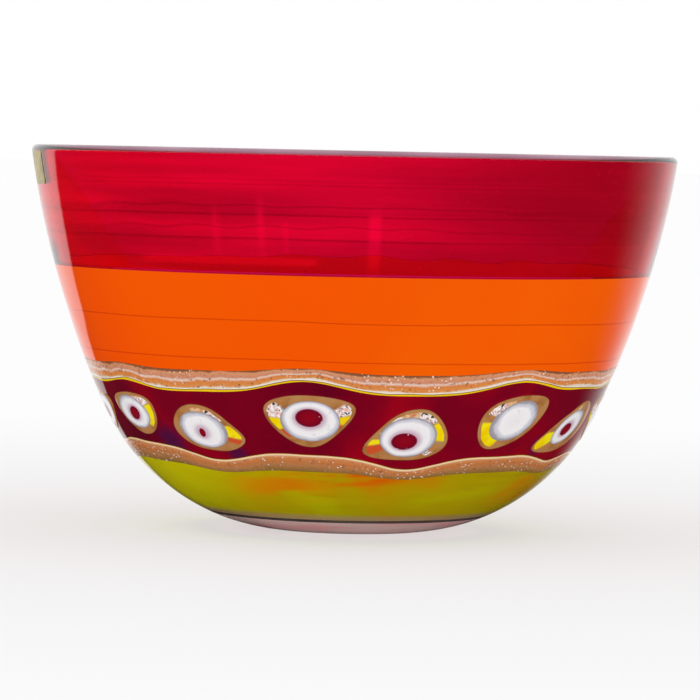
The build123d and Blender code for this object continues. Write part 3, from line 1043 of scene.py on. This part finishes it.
pockets = []
for number, (name, angle, height, mirrored) in enumerate(MURRINE, start=1):
    seat = Slice(angle, height)
    outline = matched_outline(name, mirrored)
    white_edge = ellipse_points(WHITES[name], mirrored)
    white_inner = ellipse_points(WHITES[name], mirrored, WHITE_SHARE)
    middle = blob(WHITES[name], mirrored)[:2]
    shrunk = tuple(c + (o - c) * CASING_SHARE for c, o in zip(middle, outline))

    def casing_values(u, v, t):
        """Distance in from the slice's edge, and which glass shows there."""
        width = np.hypot(outline[0] - white_edge[0], outline[1] - white_edge[1])
        around = np.arctan2(outline[1] - middle[1], outline[0] - middle[0])
        order = np.argsort(around)
        wanted = np.arctan2(v - middle[1], u - middle[0])
        here = np.interp(wanted, around[order], width[order], period=2 * math.pi)
        return {"edge": (1 - t) * here, **sector_values(name, mirrored, u, v)}

    title = f"murrina_{number:02d}"
    rim = slab(title + "_casing_glass", seat, white_edge, shrunk, 14, swell, casing_values)
    dress(rim, casing, title + "_casing")
    if title + "_core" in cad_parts:
        core_edge = ellipse_points(CORES[name], mirrored)
        core_inner = ellipse_points(CORES[name], mirrored, CORE_SHARE)
        core_middle = blob(CORES[name], mirrored)[:2]
        disc = slab(title + "_white_glass", seat, core_edge, white_inner, 12, flush, haloed)
        dress(disc, white, title + "_white")
        heart = slab(title + "_core_glass", seat, core_middle, core_inner, 8, flush, plain)
        dress(heart, core, title + "_core")
    else:
        disc = slab(title + "_white_glass", seat, middle, white_inner, 14, flush, plain)
        dress(disc, white, title + "_white")

    pocket_points = []
    for depth in (-POCKET_REACH, MURRINA_DEPTH):
        pocket_points.append(seat.place(outline[0], outline[1], np.full(PETALS, depth)))
    ring_faces = [(i, (i + 1) % PETALS, PETALS + (i + 1) % PETALS, PETALS + i) for i in range(PETALS)]
    caps = [tuple(range(PETALS)), tuple(range(2 * PETALS - 1, PETALS - 1, -1))]
    pockets.append(finish_mesh(title + "_pocket", np.vstack(pocket_points), ring_faces + caps, LATHE_CREASE))

for pocket in pockets:
    cut = cranberry_ring.modifiers.new("pocket", "BOOLEAN")
    cut.operation = "DIFFERENCE"
    cut.solver = "MANIFOLD"
    cut.object = pocket
graph = bpy.context.evaluated_depsgraph_get()
carved = bpy.data.meshes.new_from_object(cranberry_ring.evaluated_get(graph))
cranberry_ring.modifiers.clear()
cranberry_ring.data = carved
carved.shade_smooth()
carved.set_sharp_from_angle(angle=math.radians(RING_CREASE))
for pocket in pockets:
    bpy.data.objects.remove(pocket)

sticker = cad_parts["foil_label"]
sticker.data.materials.clear()
sticker.data.materials.append(foil)

# ---- Stage, light and camera ----
floor_mesh = bpy.data.meshes.new("floor")
FLOOR_REACH = 40.0
corners = [(x * FLOOR_REACH, y * FLOOR_REACH, 0) for x, y in ((-1, -1), (1, -1), (1, 1), (-1, 1))]
floor_mesh.from_pydata(corners, [], [(0, 1, 2, 3)])
floor = link("floor", floor_mesh)
floor_material, tree, shader, _ = new_material("floor_white")
shader.inputs["Roughness"].default_value = 1.0
shader.inputs["Specular IOR Level"].default_value = 0.0
n = Nodes(tree)
light_path = tree.nodes.new("ShaderNodeLightPath").outputs
not_through_glass = n.math("SUBTRACT", 1.0, light_path["Is Transmission Ray"])
mirrored_light = n.both(light_path["Is Glossy Ray"], not_through_glass)
flat = tree.nodes.new("ShaderNodeVectorMath")
flat.operation = "MULTIPLY"
n.put(flat, 0, n.place)
flat.inputs[1].default_value = (1, 1, 0)
distance = tree.nodes.new("ShaderNodeVectorMath")
distance.operation = "LENGTH"
n.put(distance, 0, flat.outputs[0])
# In reflections the floor is dark in front of the bowl and beside it. The bearing is 0 straight behind.
bearing = n.math("ARCTAN2", n.math("ABSOLUTE", n.axis("X")), n.axis("Y"))
left_edge = n.span(bearing, math.radians(49), math.radians(52))
right_edge = n.span(bearing, math.radians(20), math.radians(78))
to_right = n.span(n.axis("X"), -0.1, 0.1)
to_left = n.math("SUBTRACT", 1.0, to_right)
dark = n.math("ADD", n.both(right_edge, to_right), n.both(left_edge, to_left))
shade = n.both(mirrored_light, dark)
n.put(shader, "Base Color", n.mix(shade, (0.36, 0.36, 0.36, 1), (0.02, 0.02, 0.02, 1)))
shader.inputs["Emission Color"].default_value = (1, 1, 1, 1)
# Painted shadow: the floor glows less near the bowl, a soft halo round it.
glow_with_painted_shadow = n.span(distance.outputs["Value"], 0.1, 0.8, 0.54, 0.62)
n.put(shader, "Emission Strength", n.both(n.math("SUBTRACT", 1.0, shade), glow_with_painted_shadow))
floor.data.materials.append(floor_material)

world = bpy.data.worlds.new("studio")
bpy.context.scene.world = world
world.use_nodes = True
world.node_tree.nodes["Background"].inputs["Color"].default_value = (1, 1, 1, 1)
world.node_tree.nodes["Background"].inputs["Strength"].default_value = 1.0

bpy.context.scene.view_settings.view_transform = "Standard"

DISTANCE = 1.75
AIM_HEIGHT = 0.0695
SIDESTEP = -0.0003
ROLL = math.radians(1.2)
SENSOR, LENS = 36.0, 231.8  # millimetres
camera_data = bpy.data.cameras.new("camera")
camera_data.sensor_width = SENSOR
camera_data.lens = LENS
camera = bpy.data.objects.new("camera", camera_data)
bpy.context.collection.objects.link(camera)
camera.location = (SIDESTEP, -DISTANCE, cad_high.z)
aim = Vector((SIDESTEP, 0, AIM_HEIGHT)) - camera.location
camera.rotation_mode = "QUATERNION"
camera.rotation_quaternion = aim.to_track_quat("-Z", "Y") @ Matrix.Rotation(ROLL, 3, "Z").to_quaternion()
camera_data.clip_end = 200.0
bpy.context.scene.camera = camera
